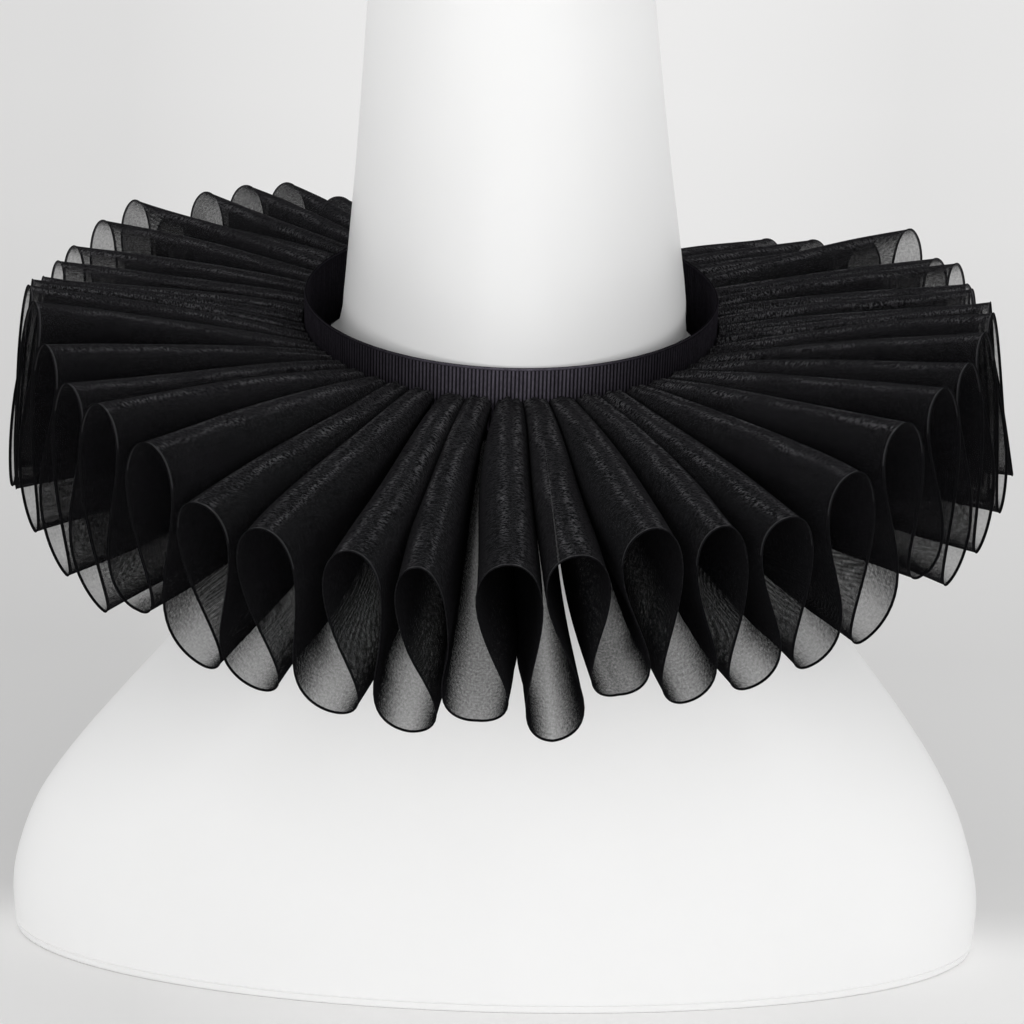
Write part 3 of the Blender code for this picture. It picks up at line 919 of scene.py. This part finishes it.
def loop_half(step, along, radius, crests, edge_half):
    """Half the width of the loops of one kind beside this step, held back by their neighbours."""
    toward = np.where(np.sin(2.0 * np.pi * step) >= 0.0, 1.0, -1.0)
    if crests is LOWS:
        toward = -toward
    order = np.interp(step, crests[:, 0], np.arange(len(crests)))
    here = np.clip(np.round(order).astype(int), 0, len(crests) - 1)
    there = np.clip(here + toward.astype(int), 0, len(crests) - 1)
    room = np.abs(between_crests(crests[here, 0], crests[there, 0], along, radius)) / 2.0
    wished = SEAM_HALF + (edge_half - SEAM_HALF) * along * (1.0 + SWELL * (1.0 - along))
    if crests is LOWS:
        wished = wished + PRESS * np.clip((PRESS_END - along) / PRESS_FADE, 0.0, 1.0)
    gap = LOOP_GAP + (EDGE_GAP - LOOP_GAP) * along**6
    limit = np.maximum(room - gap, NARROWEST_HALF)
    return limit - np.logaddexp(0.0, (limit - wished) / SOFT_TOUCH) * SOFT_TOUCH


def ribbon_point(step, along):
    """The ribbon's surface: step counts the waves, along runs from the seam, 0, to the edge, 1."""
    share = (1.0 + np.cos(2.0 * np.pi * step)) / 2.0
    droop_top = np.interp(step, TOPS[:, 0], TOPS[:, 2])
    droop_low = np.interp(step, LOWS[:, 0], LOWS[:, 2])
    width_top = np.interp(step, TOPS[:, 0], TOPS[:, 3])
    width_low = np.interp(step, LOWS[:, 0], LOWS[:, 3])
    droop = np.radians(droop_low + (droop_top - droop_low) * share)
    turn = np.interp(step, CRESTS[:, 0], CRESTS[:, 1])

    turns = [row.turn for row in REACHES]
    reach_top = np.interp(np.abs(turn), turns, [row.top for row in REACHES])
    reach_low = np.interp(np.abs(turn), turns, [row.low for row in REACHES])
    reach = reach_top + (reach_low - reach_top) * (1.0 - share) ** 2
    radius = RIBBON_START + along * reach * np.cos(droop)
    level = SEAM_LEVEL + SEAM_RISE * (2.0 * share - 1.0) - along * reach * np.sin(droop)
    bow = along * (1.0 - along) * (BOW_LEAD - along)
    level = level + TOP_BOW * bow * share**2 - LOW_BOW * bow * (1.0 - share) ** 2

    half_top = loop_half(step, along, radius, TOPS, width_top / 2.0)
    half_low = loop_half(step, along, radius, LOWS, width_low / 2.0)
    leg = np.floor(2.0 * step)
    quarter = between_crests(leg / 2.0, (leg + 1.0) / 2.0, along, radius) / 4.0
    blend = np.clip((share - BLEND_FROM) / BLEND_WIDTH, 0.0, 1.0)
    blend = blend * blend * (3.0 - 2.0 * blend)
    swing = half_low + (half_top - half_low) * blend - quarter
    swing = swing * np.sin(4.0 * np.pi * step) + wander(step, along)
    return ring_point(turn + np.degrees(swing / radius), radius, level)


def ribbon_normal(step, along):
    """The unit normal of the ribbon's middle surface."""
    small = 1e-4
    around = ribbon_point(step + small, along) - ribbon_point(step - small, along)
    outward = ribbon_point(step, along + small) - ribbon_point(step, along - small)
    normal = np.cross(around, outward)
    return normal / np.linalg.norm(normal, axis=-1, keepdims=True)


# %% [markdown]
# ### Gathers and the crest's hollow
#
# Where the ribbon meets the neckband it is drawn up to a quarter of its length,
# so fine gathers run out from the seam and fade. Along the middle of each top
# fold the cloth sinks a little, and the light catches it in two lines. A second
# map holds each point's way from the nearest top crest and how much the cloth
# is drawn together there, because the finish needs both.

# %% Build the ribbon
COLUMNS_PER_WAVE = 60
COLUMN_CROWDING = 0.5
RIBBON_ROWS = 32
ROW_CROWDING = 1.15
GATHERS_PER_WAVE = 12
GATHER_DEPTH = 0.65
GATHER_REACH = 0.6
GATHER_UNEVEN = 0.35
GATHER_RATE = 1.7
GATHER_START = 2.0
PITCH_UNEVEN = 0.9
PITCH_RATE = 5.3
FLANK_CALM = 0.75
CREST_HOLLOW = 0.22
CREST_HOLLOW_HALF = 0.045
RIBBON_WIDTH = 101.0

end_step = WAVES * RIBBON_END_TURN / 360.0
even = np.linspace(-end_step, end_step, WAVES * COLUMNS_PER_WAVE + 1)
steps = even - COLUMN_CROWDING * np.sin(4.0 * np.pi * even) / (4.0 * np.pi)
stations = np.linspace(0.0, 1.0, RIBBON_ROWS) ** ROW_CROWDING
step_grid, along_grid = np.meshgrid(steps, stations)
middle = ribbon_point(step_grid, along_grid)
normal = ribbon_normal(step_grid, along_grid)
fade = np.clip(1.0 - along_grid / GATHER_REACH, 0.0, 1.0)
strength = 1.0 - GATHER_UNEVEN
strength = strength + GATHER_UNEVEN * np.sin(GATHER_RATE * step_grid + GATHER_START)
strength *= 1.0 - FLANK_CALM * np.sin(4.0 * np.pi * step_grid) ** 2
gathers = GATHER_DEPTH * fade * strength * np.sin(
    2.0 * np.pi * GATHERS_PER_WAVE * step_grid + PITCH_UNEVEN * np.sin(PITCH_RATE * step_grid)
)
from_crest = (step_grid - np.round(step_grid)) / CREST_HOLLOW_HALF
hollow = CREST_HOLLOW * np.exp(-(from_crest**2)) * np.sin(np.pi * along_grid) ** 0.5
upward = np.sign(normal[..., 2:3])
surface = middle + normal * gathers[..., None] - normal * upward * hollow[..., None]
edge_line = surface[-1]
edge_length = np.linalg.norm(np.diff(edge_line, axis=0), axis=1).sum()
wave_length = edge_length / (2.0 * end_step)
mean_width = np.linalg.norm(np.diff(surface, axis=0), axis=-1).sum(axis=0).mean()
cloth_map = np.stack([step_grid * wave_length * MM, along_grid * RIBBON_WIDTH * MM], axis=-1)
ribbon = mesh_piece(
    "pleated_ribbon",
    surface.reshape(-1, 3),
    grid_faces(RIBBON_ROWS, len(steps)),
    cloth_map.reshape(-1, 2),
)
way_round = np.zeros(step_grid.shape)
way_round[:, 1:] = np.linalg.norm(np.diff(surface, axis=1), axis=-1).cumsum(axis=1)
crest_way = np.array([np.interp(np.round(steps), steps, row) for row in way_round])
crowding = np.maximum(edge_length / way_round[:, -1:], 1.0) * np.ones_like(step_grid)
add_map(ribbon, "crest", np.stack([(way_round - crest_way) * MM, crowding], axis=-1).reshape(-1, 2))
print("cloth drawn together at the seam:", round(float(crowding.max()), 2), "times")
ribbon_area = sum(p.area for p in ribbon.data.polygons)
print("ribbon:", triangles(ribbon), "triangles")
print("length along the free edge in mm:", round(edge_length))
print("mean width from seam to edge in mm:", round(mean_width, 1))
print("surface in square metres:", round(ribbon_area, 4))
print("share of the flat ribbon:", round(ribbon_area / (edge_length * RIBBON_WIDTH * MM * MM), 3))

# %% [markdown]
# ### Sheer black weave
#
# Sheer cloth is mostly holes. Two sets of fine threads cross, and what lets the
# light through is the product of the gaps in both. Written that way, one layer
# shows an even grey over white, and two layers beat against each other as the
# real ones do. A fold seen from its side closes up, because its threads line up
# one behind the other, and so does the cloth that is drawn together at the seam.

# %% Cover of the weave
THREAD_PITCH = 0.36
THREAD_SHARE = 0.26
THREAD_SWING = 0.17
SLUB_SCALE = 1300.0
SLUB_STRETCH = {"X": (1.0, 0.6, 1.0), "Y": (0.5, 1.0, 1.0)}
SLUB_SWING = 0.18
EDGE_WEAVE = 0.8
SLANT_POWER = 1.25

sheer_weave, tree, shader = new_material(
    "sheer black weave", Roughness=0.8, Specular_IOR_Level=0.0
)
sheer_weave.use_backface_culling = False
weave_map, cloth_axes = map_axes(tree, "cloth")
facing = tree.nodes.new("ShaderNodeLayerWeight")
facing.inputs["Blend"].default_value = 0.5
toward_eye = math_node(tree, "SUBTRACT", 1.0, facing.outputs["Facing"])
gaps = []
for axis, stretch in SLUB_STRETCH.items():
    slub = noise(tree, weave_map, SLUB_SCALE, detail=0.0, stretch=stretch)
    phase = math_node(tree, "MULTIPLY", cloth_axes[axis], 2.0 * math.pi / (THREAD_PITCH * MM))
    wave = math_node(tree, "COSINE", phase)
    thread = math_node(tree, "MULTIPLY_ADD", wave, THREAD_SWING, THREAD_SHARE)
    slub_share = math_node(tree, "MULTIPLY_ADD", slub, SLUB_SWING, -SLUB_SWING / 2.0)
    threads = math_node(tree, "ADD", thread, slub_share)
    gaps.append(math_node(tree, "SUBTRACT", 1.0, threads, clamp=True))
cover = math_node(tree, "SUBTRACT", 1.0, math_node(tree, "MULTIPLY", gaps[0], gaps[1]))
slant = math_node(tree, "POWER", toward_eye, SLANT_POWER)
slanted_cover = math_node(tree, "DIVIDE", cover, slant)
from_edge = math_node(tree, "SUBTRACT", RIBBON_WIDTH * MM, cloth_axes["Y"])
inside_edge = math_node(tree, "GREATER_THAN", from_edge, EDGE_WEAVE * MM)
_, crest_axes = map_axes(tree, "crest")
one_layer = math_node(tree, "SUBTRACT", 1.0, slanted_cover, clamp=True)
drawn_up = math_node(tree, "POWER", one_layer, crest_axes["Y"])
open_share = math_node(tree, "MULTIPLY", drawn_up, inside_edge)
tree.links.new(math_node(tree, "SUBTRACT", 1.0, open_share, clamp=True), shader.inputs["Alpha"])

# %% [markdown]
# ### Painted sheen of the top folds
#
# The yarn is black, and only its own soft shine shows the weave; that shine is
# painted into its colour. On a top fold the painted highlight shows in short
# dashes: along two lines beside the crest, where the cloth turns down on either
# side of the hollow, and more faintly as a painted sheen over the whole fold.
# The dashes are noise laid out by the way from the crest, so that they cross
# the fold as the threads do. A painted highlight makes the woven edge lighter
# where it tops a loop.

# %% Yarn colour with painted highlights
STREAK_FROM_CREST = 2.5
STREAK_HALF = 1.8
STREAK_STRAY = 3.0
PAINTED_STREAK_LIFT = 0.85
SHEEN_HALF = 14.0
PAINTED_SHEEN_LIFT = 0.20
GROUND_LIFT = 0.05
TOP_LOOP_HALF = 16.0
PAINTED_RIM_LIFT = 0.35
STRAY_SCALE = 60.0
DASH_SCALE = 2000.0
DASH_STRETCH = (0.45, 1.0, 0.03)
Contrast = namedtuple("Contrast", "gain offset")
PATCHES = Contrast(2.4, -0.5)
SHARP_DASHES = Contrast(6.0, -2.7)
SOFT_DASHES = Contrast(3.2, -1.1)
DASH_ROUGHNESS = Contrast(-0.3, 0.95)
YARN_AND_HIGHLIGHT_TONES = ((0.0, (0.0065, 0.0065, 0.0072)), (1.0, (0.070, 0.069, 0.073)))

stray = noise(tree, weave_map, STRAY_SCALE, detail=0.0)
stray_way = math_node(tree, "MULTIPLY_ADD", stray, STREAK_STRAY * MM, -STREAK_STRAY / 2.0 * MM)
strayed = math_node(tree, "ADD", crest_axes["X"], stray_way)
from_crest = math_node(tree, "ABSOLUTE", strayed)
past_streak = math_node(tree, "SUBTRACT", from_crest, STREAK_FROM_CREST * MM)
from_streak = math_node(tree, "ABSOLUTE", past_streak)
painted_streak = math_node(tree, "MULTIPLY_ADD", from_streak, -1.0 / (STREAK_HALF * MM), 1.0, clamp=True)
patches = math_node(tree, "MULTIPLY_ADD", stray, *PATCHES, clamp=True)
painted_streak = math_node(tree, "MULTIPLY", painted_streak, patches)
painted_broad_sheen = math_node(tree, "MULTIPLY_ADD", from_crest, -1.0 / (SHEEN_HALF * MM), 1.0, clamp=True)
on_fold = tree.nodes.new("ShaderNodeCombineXYZ")
tree.links.new(crest_axes["X"], on_fold.inputs["X"])
tree.links.new(cloth_axes["Y"], on_fold.inputs["Y"])
tree.links.new(cloth_axes["X"], on_fold.inputs["Z"])
fold_map = on_fold.outputs["Vector"]
dashes = noise(tree, fold_map, DASH_SCALE, detail=1.0, stretch=DASH_STRETCH)
sharp_dashes = math_node(tree, "MULTIPLY_ADD", dashes, *SHARP_DASHES, clamp=True)
soft_dashes = math_node(tree, "MULTIPLY_ADD", dashes, *SOFT_DASHES, clamp=True)
on_top = math_node(tree, "LESS_THAN", from_crest, TOP_LOOP_HALF * MM)
painted_rim_highlight = math_node(tree, "MULTIPLY", math_node(tree, "SUBTRACT", 1.0, inside_edge), on_top)
# Painted highlight: the streak lines, the broad sheen and the rim of the top loops lift the black
# yarn towards grey.
painted_sheen_and_even_lift = math_node(tree, "MULTIPLY_ADD", painted_broad_sheen, PAINTED_SHEEN_LIFT, GROUND_LIFT)
painted_sheen = math_node(tree, "MULTIPLY", painted_sheen_and_even_lift, soft_dashes)
painted_streak_lines = math_node(tree, "MULTIPLY", painted_streak, sharp_dashes)
painted_light_lift = math_node(tree, "MULTIPLY_ADD", painted_streak_lines, PAINTED_STREAK_LIFT, painted_sheen)
painted_light_lift = math_node(tree, "MULTIPLY_ADD", painted_rim_highlight, PAINTED_RIM_LIFT, painted_light_lift, clamp=True)
tree.links.new(ramp(tree, painted_light_lift, YARN_AND_HIGHLIGHT_TONES), shader.inputs["Base Color"])
dash_roughness = math_node(tree, "MULTIPLY_ADD", dashes, *DASH_ROUGHNESS)
tree.links.new(dash_roughness, shader.inputs["Roughness"])
bump(tree, shader, dashes, depth_mm=0.06, strength=0.4)
ribbon.data.materials.append(sheer_weave)

# %% [markdown]
# ### The woven edge
#
# The free edge of the ribbon is a selvedge: a few threads lie close together,
# so a thin dark line follows every loop. Its soft shine on the top folds is a
# painted highlight on the ribbon's closed edge. A geometry tree runs a fine
# round profile along the edge's path.

# %% Selvedge along the free edge
SELVEDGE_RADIUS = 0.21
CLOSE_THREAD_SCALE = 1400.0

selvedge_inputs = (("Radius", "NodeSocketFloat", SELVEDGE_RADIUS * MM),)
selvedge_tree = node_tree("cord along a path", selvedge_inputs)
group_in = selvedge_tree.nodes.new("NodeGroupInput")
path = selvedge_tree.nodes.new("GeometryNodeMeshToCurve")
selvedge_tree.links.new(group_in.outputs["Geometry"], path.inputs["Mesh"])
profile = add_node(selvedge_tree, "GeometryNodeCurvePrimitiveCircle", Resolution=6)
selvedge_tree.links.new(group_in.outputs["Radius"], profile.inputs["Radius"])
sweep = add_node(selvedge_tree, "GeometryNodeCurveToMesh")
sweep.inputs["Fill Caps"].default_value = True
selvedge_tree.links.new(path.outputs["Curve"], sweep.inputs["Curve"])
selvedge_tree.links.new(profile.outputs["Curve"], sweep.inputs["Profile Curve"])
finish_tree(selvedge_tree, sweep.outputs["Mesh"], group_in)

close_weave, tree, shader = new_material(
    "close black weave", Roughness=0.8, Specular_IOR_Level=0.0
)
place = object_place(tree)
threads = noise(tree, place, CLOSE_THREAD_SCALE, detail=1.0)
close_stops = ((0.3, (0.004, 0.004, 0.0045)), (0.7, (0.011, 0.011, 0.012)))
tree.links.new(ramp(tree, threads, close_stops), shader.inputs["Base Color"])
bump(tree, shader, threads, depth_mm=0.05, strength=0.5)

edge_mesh = bpy.data.meshes.new("ribbon_selvedge")
edge_points = [tuple(point * MM) for point in edge_line]
edge_mesh.from_pydata(edge_points, [(i, i + 1) for i in range(len(edge_points) - 1)], [])
selvedge = bpy.data.objects.new("ribbon_selvedge", edge_mesh)
bpy.context.scene.collection.objects.link(selvedge)
selvedge = run_tree(selvedge, selvedge_tree, selvedge_inputs, close_weave)
print("selvedge:", triangles(selvedge), "triangles")

# %% Place the ribbon's pieces
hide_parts("ruffle")
for piece in (ribbon, selvedge):
    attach(piece, "root")

# %% [markdown]
# ## Hook and eye
#
# A small wire hook and eye close the neckband at the back. They keep their CAD
# shapes, and get a black enamel with a little wear.

# %% Hook and eye
WEAR_SCALE = 1800.0
ENAMEL_ROUGHNESS = 0.2
WEAR_ROUGHNESS = 0.3

black_enamel, tree, shader = new_material("black enamel", Metallic=0.6, Roughness=0.35)
place = object_place(tree)
wear = noise(tree, place, WEAR_SCALE, detail=3.0)
enamel_stops = ((0.55, (0.015, 0.015, 0.016)), (0.75, (0.09, 0.09, 0.09)))
tree.links.new(ramp(tree, wear, enamel_stops), shader.inputs["Base Color"])
roughness = math_node(tree, "MULTIPLY_ADD", wear, WEAR_ROUGHNESS, ENAMEL_ROUGHNESS)
tree.links.new(roughness, shader.inputs["Roughness"])
for name in ("hook", "eye"):
    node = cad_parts[name]
    node.data.materials.clear()
    node.data.materials.append(black_enamel)
